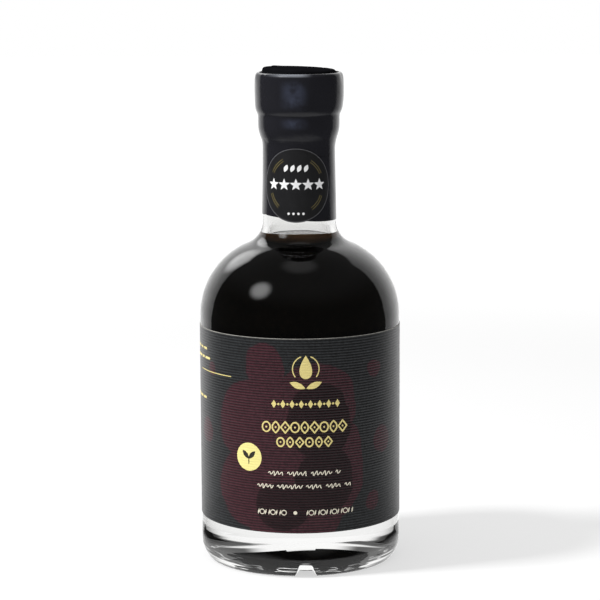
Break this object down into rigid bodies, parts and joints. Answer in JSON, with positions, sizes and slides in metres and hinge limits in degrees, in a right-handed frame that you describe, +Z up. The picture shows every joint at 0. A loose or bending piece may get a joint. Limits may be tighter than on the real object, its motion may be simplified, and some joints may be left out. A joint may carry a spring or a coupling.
{
  "type": "balsamic glaze bottle",
  "caption": "Round clear glass bottle with a heavy foot, rounded shoulder and short neck, full of dark balsamic glaze, with a black shrink capsule, a neck sticker and a wraparound label.",
  "frame": {"origin": "middle of the foot, on the surface that the bottle stands on", "axes": "+Z up along the bottle's axis, -Y towards the front of the label, +X to the right seen from the front"},
  "size_m": [0.0671, 0.067, 0.1645],
  "materials": {
    "clear_glass": "smooth clear flint glass",
    "dark_glaze": "thick opaque liquid, nearly black, brown where thin",
    "stopper": "moulded, hidden under the film",
    "shrink_film": "satin black shrink film with small folds at the top",
    "sticker_paper": "smooth printed paper, matt black",
    "label_paper": "black paper with fine raised ribs and printed fields"
  },
  "bodies": {
    "root": {"bottle": "clear_glass", "glaze": "dark_glaze", "stopper": "stopper", "capsule": "shrink_film", "neck_sticker": "sticker_paper", "label": "label_paper"}
  },
  "joints": []
}
